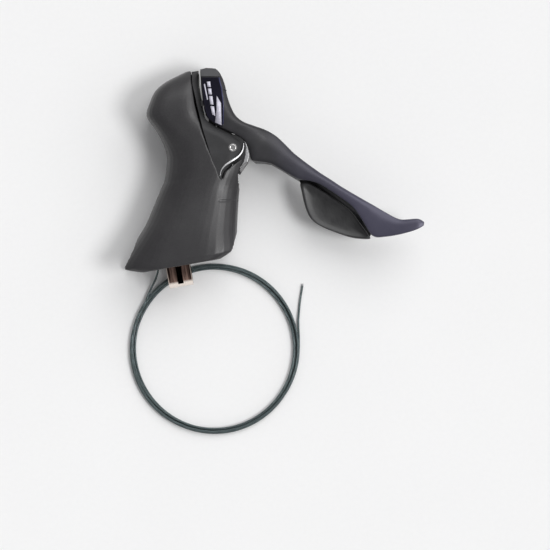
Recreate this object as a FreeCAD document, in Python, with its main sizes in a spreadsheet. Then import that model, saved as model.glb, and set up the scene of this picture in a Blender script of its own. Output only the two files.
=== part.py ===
"""Right-hand brake and shift lever for a drop handlebar, with its shift cable coiled in the clamp.

Frame: the origin is the centre of the handlebar clamp and +X runs along the handlebar's axis there,
towards the drop. +Y points forward, from the bar to the horn, and +Z is the outboard side, so the lever
lies on its inboard side. Millimetres throughout.
"""
import FreeCAD, Part
import math
import os
import re

V = FreeCAD.Vector
X_AXIS, Y_AXIS, UP = V(1, 0, 0), V(0, 1, 0), V(0, 0, 1)

doc = FreeCAD.newDocument("brake_shift_lever")

# ------------------------------------------------------------------ driving sizes
SIZES = (
    ("bar_diameter", 24.0, "handlebar in the clamp"),
    ("band_thickness", 0.8, "clamp band strip"),
    ("band_width", 14.0, "clamp band along the bar"),
    ("band_slot", 3.2, "slot in the band"),
    ("clamp_bolt_diameter", 5.0, "M5 clamp bolt"),
    ("clamp_bolt_height", 7.6, "clamp bolt above the middle plane"),
    ("clamp_bolt_x", 3.6, "clamp bolt along the bar"),
    ("hood_wall", 2.6, "rubber hood"),
    ("hood_gap", 0.4, "between hood and bracket"),
    ("seam_gap", 0.4, "between the hood's front edge and the cheek"),
    ("table_height", -17.5, "surface that the lever lies on"),
    ("fork_half_width", 10.2, "half the slot between the cheeks"),
    ("base_half_width", 9.8, "half the lever base's width"),
    ("pivot_x", 43.2, "brake pivot"),
    ("pivot_y", 61.3, "brake pivot"),
    ("pivot_diameter", 4.8, "brake pivot axle"),
    ("running_gap", 0.04, "radial gap of a turning fit"),
    ("shift_pin_diameter", 4.0, "pin that the main lever swings on"),
    ("hub_radius", 3.4, "hubs on the shift pin"),
    ("unit_x", 17.2, "axis of the winder unit"),
    ("unit_bore", 9.4, "radius of the winder chamber"),
    ("unit_plate_radius", 9.1, "winder end plates"),
    ("unit_axle_diameter", 5.0, "winder main axle"),
    ("drum_flange", 8.2, "cable drum flange radius"),
    ("drum_groove", 7.0, "cable drum groove radius"),
    ("ratchet_radius", 5.8, "ratchet wheel tip radius"),
    ("ratchet_teeth", 12, "teeth on the ratchet wheel"),
    ("cable_diameter", 1.2, "shift inner cable"),
    ("coil_radius", 48.1, "mean radius of the cable coil"),
    ("coil_section", 1.7, "radius of the bundle of turns"),
    ("coil_x", 12.3, "coil centre"),
    ("coil_y", -51.6, "coil centre"),
    ("casing_radius", 2.6, "bore for a 5 mm brake casing"),
    ("casing_depth", 7.0, "how far the brake casing goes in"),
)


def fill_sheet():
    """Puts every driving size in the spreadsheet under its own alias."""
    cells = doc.addObject("Spreadsheet::Sheet", "Sizes")
    for row, (alias, value, meaning) in enumerate(SIZES, start=1):
        cells.set(f"A{row}", meaning)
        cells.set(f"B{row}", str(value))
        cells.setAlias(f"B{row}", alias)
    doc.recompute()
    return cells


sheet = fill_sheet()
ALIASES = re.compile(r"\b(" + "|".join(alias for alias, _, _ in SIZES) + r")\b")


def size(alias):
    """The number in the spreadsheet cell with this alias."""
    return float(sheet.get(alias))


def bind(item, **formulas):
    """Binds properties to sheet formulas such as Radius="pivot_diameter / 2"."""
    for name, formula in formulas.items():
        item.setExpression(name, ALIASES.sub(r"Sizes.\1", formula))


# ------------------------------------------------------------------ building blocks
nodes = {}


def keep(name, item):
    """Marks a document object as the sub-part called name."""
    item.Label = name
    nodes[name] = item
    return item


def cylinder(name, radius, length, start, direction=UP):
    """A round bar from start along direction; radius and length are sheet formulas."""
    item = doc.addObject("Part::Cylinder", name)
    bind(item, Radius=str(radius), Height=str(length))
    item.Placement = FreeCAD.Placement(start, FreeCAD.Rotation(UP, direction))
    return item


def box(name, low, high):
    """A block between two opposite corners."""
    item = doc.addObject("Part::Box", name)
    item.Length, item.Width, item.Height = high[0] - low[0], high[1] - low[1], high[2] - low[2]
    item.Placement.Base = V(*low)
    return item


def prism(name, outline, low, high):
    """A plate: a closed outline in XY, padded from low to high."""
    body = doc.addObject("PartDesign::Body", name)
    sketch = body.newObject("Sketcher::SketchObject", name + "_outline")
    plane = next(f for f in body.Origin.OriginFeatures if f.Role == "XY_Plane")
    sketch.AttachmentSupport = (plane, [""])
    sketch.MapMode = "FlatFace"
    corners = [V(x, y, 0) for x, y in outline]
    sketch.addGeometry([Part.LineSegment(a, b) for a, b in zip(corners, corners[1:] + corners[:1])])
    pad = body.newObject("PartDesign::Pad", name + "_pad")
    pad.Profile = sketch
    bind(pad, Length=f"({high}) - ({low})")
    bind(body, **{".Placement.Base.z": str(low)})
    return body


def fuse(name, *items):
    """Joins overlapping pieces into one."""
    item = doc.addObject("Part::MultiFuse", name)
    item.Shapes = list(items)
    item.Refine = True
    return item


def cut(name, base, *tools):
    """Takes every tool away from base, one after another."""
    for tool in tools:
        item = doc.addObject("Part::Cut", name)
        item.Base, item.Tool = base, tool
        base = item
    return base


def common(name, first, second):
    """Keeps what two pieces share."""
    item = doc.addObject("Part::Common", name)
    item.Base, item.Tool = first, second
    return item


def feature(name, shape):
    """An object whose shape is made with Part's own functions."""
    item = doc.addObject("Part::Feature", name)
    item.Shape = shape
    return item


def ring(name, outer, inner, length, start, direction=UP):
    """A bush, washer or tube."""
    wall = cylinder(name + "_outside", outer, length, start, direction)
    bore = cylinder(name + "_bore", inner, length, start, direction)
    return cut(name, wall, bore)


def spring(name, radius, wire, pitch, turns, start, direction=UP):
    """A coil spring of round wire around an axis."""
    helix = doc.addObject("Part::Helix", name + "_line")
    helix.Radius, helix.Pitch, helix.Height = radius, pitch, pitch * turns
    section = doc.addObject("Part::Circle", name + "_wire")
    section.Radius = wire / 2
    section.Placement = FreeCAD.Placement(V(radius, 0, 0), FreeCAD.Rotation(X_AXIS, 90))
    item = doc.addObject("Part::Sweep", name)
    item.Sections, item.Spine = [section], helix
    item.Solid, item.Frenet = True, True
    item.Placement = FreeCAD.Placement(start, FreeCAD.Rotation(UP, direction))
    return item


# ------------------------------------------------------------------ directions and axes
PIVOT = V(size("pivot_x"), size("pivot_y"), 0)
SHIFT_TILT = math.radians(8)
SHIFT_AXIS = V(math.sin(SHIFT_TILT), math.cos(SHIFT_TILT), 0)
SHIFT_CENTRE = V(37.2, 84.0, 0)
FORK = size("fork_half_width")
TABLE = size("table_height")


def on_shift_axis(along):
    """A point of the shift pin's axis, this far from its middle."""
    return SHIFT_CENTRE + SHIFT_AXIS * along


def on_unit_axis(y):
    """A point of the winder unit's axis."""
    return V(size("unit_x"), y, 0)


# ------------------------------------------------------------------ hood and bracket envelope
# One row for each cross-section: y, left x, right x, half width, corner radius.
SECTIONS = (
    (-0.8, -22.0, 25.0, 17.2, 8),
    (1.6, -28.6, 29.8, 17.4, 8),
    (4, -30.8, 32.6, 17.5, 8),
    (14, -24.3, 36.8, 17.5, 8),
    (26, -14.5, 39.2, 16.3, 9),
    (38, -6.6, 42.3, 15.2, 10),
    (50, 1.0, 45.9, 15.2, 10),
    (62, 4.5, 49.4, 15.8, 9),
    (72, 3.3, 40.4, 16.4, 9),
    (80, 0.5, 31.5, 16.9, 9),
    (88, -2.6, 29.5, 17.2, 9),
    (96, 0.6, 30.0, 16.2, 8),
    (102, 5.2, 30.8, 13.6, 7),
    (106, 12.5, 31.5, 10.5, 5),
    (109, 24.0, 31.6, 6.0, 3),
)
HORN_START, HORN_END = 88.0, 109.0


def rounded_section(y, left, right, half_width, corner):
    """A rectangle with round corners, in the plane across Y."""
    points, bulge = [], corner * (1 - math.sqrt(0.5))
    for sx, sz in ((1, 1), (-1, 1), (-1, -1), (1, -1)):
        edge = right if sx > 0 else left
        beside = V(edge - sx * corner, y, sz * half_width)
        middle = V(edge - sx * bulge, y, sz * (half_width - bulge))
        below = V(edge, y, sz * (half_width - corner))
        points.append((beside, middle, below) if sx != sz else (below, middle, beside))
    edges = []
    for (start, middle, end), following in zip(points, points[1:] + points[:1]):
        edges.append(Part.Arc(start, middle, end).toShape())
        edges.append(Part.LineSegment(end, following[0]).toShape())
    return Part.Wire(edges)


def envelope(name, inset, rear_y=None):
    """The hood's outer form moved inwards by inset, run back to rear_y where one is given."""
    wires = []
    for y, left, right, half_width, corner in SECTIONS:
        towards_horn = min(max((y - HORN_START) / (HORN_END - HORN_START), 0), 1)
        row = (left + inset, right - inset, half_width - inset, max(corner - 0.6 * inset, 1.2))
        if rear_y is not None and not wires:
            wires.append(rounded_section(rear_y, *row))
        wires.append(rounded_section(y - inset * towards_horn, *row))
    return feature(name, Part.makeLoft(wires, True, False))


# ------------------------------------------------------------------ hood
SEAM = ((26.9, 109.5), (26.1, 101.4), (26.7, 87.8), (27.7, 73.5), (29.4, 59.6), (31.8, 46.8), (33.3, 41.8))
HOOD_LIP = ((34.0, 43.2), (34.8, 46.0), (37.0, 49.0), (40.8, 51.2), (45.4, 53.0), (47.2, 54.0))
BAR_CUT = 12.6
ARCH_TOP = 21.5


def hood():
    """Rubber sleeve: open in front for the lever and behind for the bar and the casings."""
    outside = envelope("hood_outside", 0)
    region = SEAM + HOOD_LIP + ((60, 54), (60, -9), (-45, -9), (-45, 120), (26.9, 120))
    shell = common("hood_form", outside, prism("hood_region", region, -25, 25))
    inside = envelope("hood_inside", size("hood_wall"), rear_y=-6)
    mouth = prism("hood_mouth", ((30, 36.5), (60, 36.5), (60, 70), (30, 70)), -FORK - 0.2, FORK + 0.2)
    bar = cylinder("hood_bar_cut", BAR_CUT, 120, V(-50, 0, 0), X_AXIS)
    arch = box("hood_arch", (-50, -10, -BAR_CUT), (0, ARCH_TOP, BAR_CUT))
    keep("hood", cut("hood_cut", shell, inside, mouth, bar, arch))


# ------------------------------------------------------------------ shift cable
CABLE = size("cable_diameter") / 2
SEAT_REAR = 17.0
SHIFT_SEAT = V(-10.2, SEAT_REAR, -8.0)
SHIFT_SEAT_IN = V(0.12, 0.993, 0)
COIL_CENTRE = V(size("coil_x"), size("coil_y"), TABLE + size("coil_section"))


def tube_along(name, points, radius):
    """A round tube on straight runs joined by tangent arcs, each as large as its runs allow."""
    starts, edges, radii = points[0], [], []
    for before, corner, after in zip(points, points[1:], points[2:]):
        into, out = corner - before, after - corner
        turn = into.getAngle(out)
        setback = 0.45 * min(into.Length, out.Length)
        radii.append(setback / math.tan(turn / 2))
        into.normalize()
        out.normalize()
        begin, end = corner - into * setback, corner + out * setback
        inwards = (out - into).normalize()
        middle = corner + inwards * (radii[-1] / math.cos(turn / 2) - radii[-1])
        edges += [Part.LineSegment(starts, begin).toShape(), Part.Arc(begin, middle, end).toShape()]
        starts = end
    edges.append(Part.LineSegment(starts, points[-1]).toShape())
    path = Part.Wire(edges)
    section = Part.Wire(Part.Circle(points[0], points[1] - points[0], radius).toShape())
    tube = path.makePipeShell([section], True, False)
    expected = math.pi * radius ** 2 * path.Length
    print(f"{name}: length {path.Length:.1f}, radii {[round(r, 1) for r in radii]},"
          f" volume {tube.Volume:.1f} of {expected:.1f}")
    return feature(name + "_tube", tube)


DRUM_CABLE_Y = 81.1
DRUM_CABLE_RADIUS = 7.7
CABLE_INSIDE = (
    V(size("unit_x"), DRUM_CABLE_Y, -DRUM_CABLE_RADIUS),
    V(12.8, DRUM_CABLE_Y, -DRUM_CABLE_RADIUS),
    V(10.5, 76.2, -7.7),
    V(10.5, 58.0, -7.7),
    SHIFT_SEAT + SHIFT_SEAT_IN * 7.2,
    SHIFT_SEAT + SHIFT_SEAT_IN * 1.0,
)
CABLE_EXIT = (
    SHIFT_SEAT + SHIFT_SEAT_IN * 1.0,
    V(-10.6, 12.0, -8.3),
    V(-11.0, 6.0, -12.0),
    V(-11.6, 0.0, -13.7),
    V(-14.2, -5.6, -14.8),
    V(-18.2, -10.8, -15.5),
    V(-22.3, -15.8, -15.8),
)
CABLE_TAIL = (
    V(61.9, -51.0, TABLE + 2.2),
    V(62.9, -44.6, TABLE + 1.3),
    V(64.7, -38.0, TABLE + 0.9),
    V(66.6, -31.2, TABLE + 0.8),
    V(69.0, -24.6, TABLE + 0.75),
)


# ------------------------------------------------------------------ bracket
CHEEK_LOWER = ((33.9, 46.0), (36.8, 50.7), (41.3, 53.4), (47.0, 55.9), (50.5, 58.0))
BOLT_X, BOLT_Z = size("clamp_bolt_x"), size("clamp_bolt_height")
CHAMBER = (72.6, 100.4)
BOLT_HEAD_Y = 30.0
BRAKE_SEAT = V(-8.6, 21.6, 2.8)
BRAKE_SEAT_IN = V(0.85, 0.527, 0)
BRAKE_LINE = (V(33.0, 69.0, 4.4), V(-3.0, 26.0, 2.8))


def bracket_cuts():
    """Everything that is hollow in the bracket."""
    reach = V(0, 0, 20)
    seat_depth = size("casing_depth")
    channel = BRAKE_LINE[0] - BRAKE_LINE[1]
    return (
        prism("fork_slot", ((30.3, 86), (30.3, 46), (32.5, 36.5), (60, 36.5), (60, 86)), -FORK, FORK),
        prism("inboard_relief", ((36, 66.5), (60, 66.5), (60, 86), (36, 86)), -25, -FORK + 1),
        prism("inboard_recess", ((37, 30), (60, 30), (60, 86), (37, 86)), -25, -13.0),
        cylinder("chamber", "unit_bore", 40, on_unit_axis(CHAMBER[0]), Y_AXIS),
        box("horn_split", (-20, CHAMBER[1], -20), (26.4, 120, 20)),
        cylinder("bar_seat", "bar_diameter / 2", 16, V(-8, 0, 0), X_AXIS),
        cylinder("bar_room_left", BAR_CUT + 0.4, 60, V(-67.3, 0, 0), X_AXIS),
        cylinder("bar_room_right", BAR_CUT + 0.4, 60, V(7.3, 0, 0), X_AXIS),
        box("behind_bar", (-50, -20, -25), (60, 4, 25)),
        box("casing_recess", (-50, -20, -25), (-7.4, SEAT_REAR, 25)),
        box("band_path_out", (-7.3, -20, 11.5), (7.3, 14.6, 25)),
        box("band_path_in", (-7.3, -20, -25), (7.3, 9.4, -11.5)),
        box("nut_pocket", (BOLT_X - 4.8, 0, BOLT_Z - 4.2), (BOLT_X + 4.8, 14.6, 25)),
        cylinder("bolt_bore", "clamp_bolt_diameter / 2 + 0.3", 24, V(BOLT_X, 10, BOLT_Z), Y_AXIS),
        cylinder("bolt_counterbore", 4.6, 32, V(BOLT_X, BOLT_HEAD_Y, BOLT_Z), Y_AXIS),
        box("bolt_channel", (BOLT_X - 4.6, BOLT_HEAD_Y, BOLT_Z), (BOLT_X + 4.6, BOLT_HEAD_Y + 32, 25)),
        cylinder("brake_line", 1.3, channel.Length, BRAKE_LINE[1], channel),
        cylinder("brake_seat_bore", 3.45, seat_depth + 31.6, BRAKE_SEAT - BRAKE_SEAT_IN * 30, BRAKE_SEAT_IN),
        cylinder("shift_seat_bore", 2.75, 36.6, SHIFT_SEAT - SHIFT_SEAT_IN * 30, SHIFT_SEAT_IN),
        tube_along("shift_channel", CABLE_INSIDE, CABLE + 0.5),
        cylinder("pivot_bore", "pivot_diameter / 2 + running_gap", 60, PIVOT - reach, UP),
        box("arm_window", (24, 87.6, -5.6), (40, 92.4, 2.0)),
        cylinder("rear_axle_bore", "unit_axle_diameter / 2 + 0.05", 6, on_unit_axis(69), Y_AXIS),
    )


def bracket():
    """The load-carrying body: inside the hood behind the seam, full size in front of it."""
    inside = envelope("bracket_inside", size("hood_wall") + size("hood_gap"), rear_y=-6)
    outside = envelope("cheek_outside", 0.3)
    gap = size("seam_gap")
    cheek = tuple((x + gap, y) for x, y in SEAM[:-1]) + ((33.5, 43.5),) + CHEEK_LOWER
    region = cheek + ((52, 70), (40, 82), (33.2, 86), (33.2, 120), (27.3, 120))
    front = common("cheek_form", outside, prism("cheek_region", region, -25, 25))
    solid = fuse("bracket_solid", inside, front)
    keep("bracket", cut("bracket_cut", solid, *bracket_cuts()))


def horn_cap():
    """Closes the winder chamber under the hood's horn, with one screw."""
    inside = envelope("cap_inside", size("hood_wall") + 1.2)
    top = common("cap_top", inside, box("cap_region", (-20, CHAMBER[1] + 0.05, -20), (26.2, 120, 20)))
    spigot = cylinder("cap_spigot", "unit_bore - 0.1", 2.6, on_unit_axis(CHAMBER[1] - 2.2), Y_AXIS)
    screw_hole = cylinder("cap_screw_hole", 1.25, 14, on_unit_axis(98), Y_AXIS)
    head_hole = cylinder("cap_head_hole", 2.4, 10, on_unit_axis(102.3), Y_AXIS)
    keep("horn_cap", cut("cap_cut", fuse("cap_solid", top, spigot), screw_hole, head_hole))
    shank = cylinder("cap_screw_shank", 1.2, 7.4, on_unit_axis(95.0), Y_AXIS)
    head = cylinder("cap_screw_head", 2.2, 1.4, on_unit_axis(102.35), Y_AXIS)
    keep("horn_cap_screw", fuse("cap_screw_solid", shank, head))


# ------------------------------------------------------------------ clamp
BAR_RADIUS = size("bar_diameter") / 2
BAND = size("band_thickness")
BAND_HALF = size("band_width") / 2


def clamp():
    """Strap round the back of the bar: hooked in the bracket inboard, pulled by the bolt outboard."""
    low, outer = -BAND_HALF, BAR_RADIUS + BAND
    hoop = ring("band_hoop", "bar_diameter / 2 + band_thickness", "bar_diameter / 2", "band_width",
                V(low, 0, 0), X_AXIS)
    rear = cut("band_rear", hoop, box("band_front", (low - 1, 0, -20), (BAND_HALF + 1, 20, 20)))
    flange_low = BOLT_Z - 3.6
    strips = (
        box("band_leg_out", (low, -0.01, BAR_RADIUS), (BAND_HALF, 14.0, outer)),
        box("band_flange", (BOLT_X - 4.4, 13.2, flange_low), (BAND_HALF, 14.0, outer)),
        box("band_leg_in", (low, -0.01, -outer), (BAND_HALF, 8.8, -BAR_RADIUS)),
    )
    half_slot = size("band_slot") / 2
    slot = box("band_slot_cut", (-half_slot, -11.0, 0), (half_slot, -1.0, 20))
    bolt_hole = cylinder("band_bolt_hole", "clamp_bolt_diameter / 2 + 0.1", 6, V(BOLT_X, 11, BOLT_Z), Y_AXIS)
    keep("clamp_band", cut("band_cut", fuse("band_solid", rear, *strips), slot, bolt_hole))

    nut_block = box("nut_block", (BOLT_X - 4, 11.05, 4.9), (BOLT_X + 4, 13.15, 10.6))
    nut_hole = cylinder("nut_hole", "clamp_bolt_diameter / 2 + 0.05", 6, V(BOLT_X, 9, BOLT_Z), Y_AXIS)
    keep("clamp_nut", cut("nut_cut", nut_block, nut_hole))

    shank = cylinder("bolt_shank", "clamp_bolt_diameter / 2", 19.0, V(BOLT_X, 11.1, BOLT_Z), Y_AXIS)
    head = cylinder("bolt_head", 4.2, 5, V(BOLT_X, BOLT_HEAD_Y + 0.05, BOLT_Z), Y_AXIS)
    socket = hexagon("bolt_socket", 5.0, 3.0, V(BOLT_X, BOLT_HEAD_Y + 2.1, BOLT_Z), Y_AXIS)
    keep("clamp_bolt", cut("bolt_cut", fuse("bolt_solid", shank, head), socket))


def hexagon(name, across_flats, depth, start, direction):
    """A six-sided bar, for sockets."""
    item = doc.addObject("Part::Prism", name)
    item.Polygon = 6
    item.Circumradius = across_flats / math.sqrt(3)
    item.Height = depth
    item.Placement = FreeCAD.Placement(start, FreeCAD.Rotation(UP, direction))
    return item


# ------------------------------------------------------------------ casing seats
def casing_seats():
    """Metal cups in the bracket's rear that the two cable casings push into."""
    depth = size("casing_depth")
    start = BRAKE_SEAT - BRAKE_SEAT_IN * 0.4
    wall = cylinder("brake_seat_wall", 3.4, depth + 1.8, start, BRAKE_SEAT_IN)
    bore = cylinder("brake_seat_hole", "casing_radius", depth + 0.4, start, BRAKE_SEAT_IN)
    through = cylinder("brake_seat_through", 1.0, depth + 6, start, BRAKE_SEAT_IN)
    keep("brake_casing_seat", cut("brake_seat_cut", wall, bore, through))

    wall = cylinder("shift_seat_wall", 2.7, 6.4, SHIFT_SEAT, SHIFT_SEAT_IN)
    bore = cylinder("shift_seat_hole", 2.1, 5.0, SHIFT_SEAT, SHIFT_SEAT_IN)
    through = cylinder("shift_seat_through", "cable_diameter / 2 + 0.1", 9, SHIFT_SEAT, SHIFT_SEAT_IN)
    keep("shift_casing_seat", cut("shift_seat_cut", wall, bore, through))


# ------------------------------------------------------------------ brake pivot
def brake_pivot():
    """Axle, circlip, bushes and return spring of the brake lever."""
    low, high = -14.6, 15.6
    shaft = cylinder("axle_shaft", "pivot_diameter / 2", high - low, V(PIVOT.x, PIVOT.y, low))
    recess = hexagon("axle_recess", 2.0, 1.2, V(PIVOT.x, PIVOT.y, high - 0.8), UP)
    groove = ring("axle_groove", 4.0, 1.9, 0.7, V(PIVOT.x, PIVOT.y, -13.75))
    keep("pivot_axle", cut("axle_cut", shaft, recess, groove))

    clip = ring("clip_ring", 3.8, 1.95, 0.6, V(PIVOT.x, PIVOT.y, -13.7))
    mouth = box("clip_mouth", (PIVOT.x - 1.2, PIVOT.y, -15), (PIVOT.x + 1.2, PIVOT.y + 6, -12))
    keep("axle_circlip", cut("clip_cut", clip, mouth))

    half = size("base_half_width")
    upper = ring("bush_upper", 3.4, "pivot_diameter / 2 + running_gap", 3.6, PIVOT + V(0, 0, half - 3.6))
    lower = ring("bush_lower", 3.4, "pivot_diameter / 2 + running_gap", 3.6, PIVOT - V(0, 0, half))
    pair = doc.addObject("Part::Compound", "bush_pair")
    pair.Links = [upper, lower]
    keep("axle_bushes", pair)
    keep("brake_return_spring", spring("brake_spring", 4.2, 0.9, 1.3, 6, PIVOT - V(0, 0, 3.9)))


# ------------------------------------------------------------------ lever base
HOOK = V(34.6, 70.4, 0)
REACH_SCREW = V(30.9, 65.0, 5.6)


def lever_base():
    """Alloy link: turns on the brake axle and carries the shift pin in two lugs."""
    half = size("base_half_width")
    hub = cylinder("base_hub", 7.6, 2 * half, PIVOT - V(0, 0, half))
    tail = ((49.6, 64.5), (50.9, 62.2), (51.4, 58.6), (51.2, 53.6), (50.2, 50.8), (44.5, 45.2), (42.6, 47.2),
            (41.0, 55.0), (43.0, 66.0))
    tail = prism("base_tail", tail, -2, half - 0.6)
    neck = ((37.5, 58.0), (31.6, 66.6), (31.3, 74.6), (40.6, 74.6), (44.6, 68.8), (49.0, 66.0), (46, 60))
    neck = prism("base_neck", neck, -4.6, 6.7)
    spine = prism("base_spine", ((31.8, 70), (34.3, 70), (35.4, 97.8), (32.7, 97.8)), 1.6, 6.9)
    top_lug = cylinder("base_top_lug", 3.2, 4.0, on_shift_axis(9.4), SHIFT_AXIS)
    top_web = prism("base_top_web", ((32.6, 93.4), (38.0, 93.0), (38.8, 97.2), (32.8, 97.8)), 1.6, 3.0)
    solid = fuse("base_solid", hub, tail, neck, spine, top_lug, top_web)
    reach = V(0, 0, half + 1)
    holes = (
        cylinder("base_bore", 3.45, 2 * half + 2, PIVOT - reach),
        cylinder("base_spring_room", 5.4, 11.4, PIVOT - V(0, 0, 5.7)),
        cylinder("base_pin_bore", "shift_pin_diameter / 2 + 0.02", 32, on_shift_axis(-15.8), SHIFT_AXIS),
        cylinder("base_hook_bore", 2.55, 10, HOOK + V(0, 0, 3.0)),
        cylinder("base_cable_way", 1.3, 12, HOOK + V(0, 0, 4.4), V(-0.64, -0.77, 0)),
        cylinder("base_screw_bore", 1.55, 9.5, REACH_SCREW, X_AXIS),
        cylinder("base_hub_room", "hub_radius + 0.5", 18.8, on_shift_axis(-9.7), SHIFT_AXIS),
    )
    keep("lever_base", cut("base_cut", solid, *holes))

    barrel = cylinder("hook_barrel", 2.5, 4.6, HOOK + V(0, 0, 3.1))
    hole = cylinder("hook_hole", 0.9, 12, HOOK + V(3.8, 4.6, 4.4), V(-0.64, -0.77, 0))
    keep("brake_cable_hook", cut("hook_cut", barrel, hole))

    rod = cylinder("screw_rod", 1.5, 9.0, REACH_SCREW, X_AXIS)
    socket = hexagon("screw_socket", 1.5, 1.5, REACH_SCREW + V(8.0, 0, 0), X_AXIS)
    keep("reach_screw", cut("screw_cut", rod, socket))
    keep("shift_pin", cylinder("pin_bar", "shift_pin_diameter / 2", 28.6, on_shift_axis(-15.0), SHIFT_AXIS))


# ------------------------------------------------------------------ main lever
HEAD_OUTLINE = (
    (32.5, 109.0), (36.0, 109.3), (41.4, 108.1), (43.6, 103.6), (44.8, 96.0), (45.2, 89.2), (46.1, 84.3),
    (47.7, 79.9), (51.0, 75.4), (56.0, 72.0), (56.0, 66.0), (51.6, 63.4), (48.6, 67.6), (43.8, 70.6),
    (38.4, 74.8), (33.4, 79.2), (31.3, 84.4), (31.2, 90.0), (31.6, 97.0), (32.3, 104.0),
)
PLATE_SCREW = V(40.4, 88.0, 0)
# One row for each cross-section of the blade: front x and y, rear x and y, middle z, half thickness.
BLADE = (
    (50.0, 76.3, 52.9, 52.2, 2.1, 7.8),
    (57.5, 71.3, 55.2, 50.6, 2.0, 7.7),
    (64.5, 67.1, 59.8, 49.0, 1.9, 7.3),
    (71.0, 61.7, 64.6, 46.8, 1.9, 7.0),
    (76.5, 55.4, 69.8, 42.4, 1.9, 6.6),
    (81.5, 49.0, 75.4, 37.6, 2.0, 6.3),
    (86.5, 43.0, 82.3, 34.9, 2.3, 6.1),
    (92.5, 37.0, 88.0, 30.5, 2.7, 5.8),
    (99.5, 30.3, 95.8, 23.2, 3.3, 5.5),
    (107.0, 22.9, 102.7, 16.8, 4.0, 5.1),
    (115.2, 15.6, 109.1, 6.4, 4.8, 4.8),
    (122.5, 9.6, 114.0, -3.3, 5.4, 4.5),
    (127.6, 5.8, 121.0, -4.8, 5.9, 4.2),
    (132.0, 3.4, 128.5, -5.0, 6.3, 3.9),
    (137.0, 2.7, 135.5, -4.5, 6.8, 3.4),
    (141.5, 2.3, 140.8, -3.6, 7.2, 2.8),
    (144.9, -0.2, 144.6, -2.4, 7.5, 1.6),
)


def blade_section(front_x, front_y, rear_x, rear_y, middle, half):
    """A rectangle with round corners between the blade's front and rear edges, standing along Z."""
    front, rear = V(front_x, front_y, middle), V(rear_x, rear_y, middle)
    across = (front - rear).normalize()
    corner = 0.8 * min(half, (front - rear).Length / 2)
    bulge = corner * (1 - math.sqrt(0.5))
    arcs = []
    for edge, sign, sz in ((front, 1, 1), (rear, -1, 1), (rear, -1, -1), (front, 1, -1)):
        beside = edge - across * (sign * corner) + UP * (sz * half)
        middle_point = edge - across * (sign * bulge) + UP * (sz * (half - bulge))
        below = edge + UP * (sz * (half - corner))
        arcs.append((beside, middle_point, below) if sign != sz else (below, middle_point, beside))
    edges = []
    for (start, middle_point, end), following in zip(arcs, arcs[1:] + arcs[:1]):
        edges.append(Part.Arc(start, middle_point, end).toShape())
        edges.append(Part.LineSegment(end, following[0]).toShape())
    return Part.Wire(edges)


def main_lever():
    """The brake and shift blade with its head; swings inboard on the shift pin."""
    blade = feature("blade_form", Part.makeLoft([blade_section(*row) for row in BLADE], True, False))
    head = prism("head_form", HEAD_OUTLINE, -5.7, 11.8)
    hollow = ((30, 98.9), (42.2, 98.9), (42.6, 92.0), (42.6, 84.0), (44.2, 78.0), (48.6, 72.6), (51.6, 70.0),
              (51.6, 60.0), (30, 60.0))
    hollow = prism("head_hollow", hollow, -8, 8.0)
    rear_cut = prism("head_rear_cut", ((31, 98), (36, 98), (36, 111), (31, 111)), -8, 5)
    shell = cut("head_shell", head, hollow, rear_cut)
    hub = cylinder("main_hub", "hub_radius", 9.9, on_shift_axis(-0.9), SHIFT_AXIS)
    web = prism("main_web", ((38.2, 84.4), (44.6, 83.4), (44.0, 91.0), (39.2, 92.0)), -1.6, 1.6)
    finger = prism("shift_finger", ((33.4, 89.2), (38.4, 88.8), (38.4, 91.4), (33.4, 91.2)), -6.4, -4.6)
    strut = prism("finger_strut", ((36.8, 88.6), (40.2, 88.2), (40.2, 91.6), (36.8, 91.6)), -6.4, -1.0)
    solid = fuse("main_solid", shell, blade, hub, web, finger, strut)
    link_room = []
    for angle in (9, 12, 15, 18):
        room = cylinder(f"link_room_{angle}", 8.2, 20.4, PIVOT - UP * 10.2)
        turn = FreeCAD.Placement(V(0, 0, 0), FreeCAD.Rotation(SHIFT_AXIS, -angle), on_shift_axis(0))
        room.Placement = turn.multiply(room.Placement)
        link_room.append(room)
    bore = cylinder("main_bore", "shift_pin_diameter / 2 + running_gap", 30, on_shift_axis(-12), SHIFT_AXIS)
    screw_hole = cylinder("plate_screw_hole", 0.95, 6, PLATE_SCREW + V(0, 0, 7))
    keep("main_lever", cut("main_cut", solid, bore, screw_hole, *link_room))

    plate = ((32.0, 104.9), (42.9, 103.0), (43.2, 95.0), (42.0, 84.0), (40.3, 74.2), (38.4, 74.6),
             (35.4, 77.0), (32.4, 80.4), (31.2, 84.6), (31.0, 92.8))
    keep("name_plate", prism("name_plate_form", plate, 11.85, 13.1))
    cap = ((32.4, 109.0), (36.0, 109.3), (41.3, 108.0), (43.4, 103.4), (42.9, 103.2), (32.2, 105.1))
    keep("plate_cap", prism("plate_cap_form", cap, 11.85, 13.0))
    screw = fuse("plate_screw_solid", cylinder("plate_screw_head", 1.3, 0.95, PLATE_SCREW + V(0, 0, 7)),
                 cylinder("plate_screw_shank", 0.9, 3.9, PLATE_SCREW + V(0, 0, 7.9)))
    keep("plate_screw", screw)
    keep("lever_return_spring", spring("lever_spring", 2.9, 0.5, 0.62, 2.5, on_shift_axis(-3.05), SHIFT_AXIS))


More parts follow.
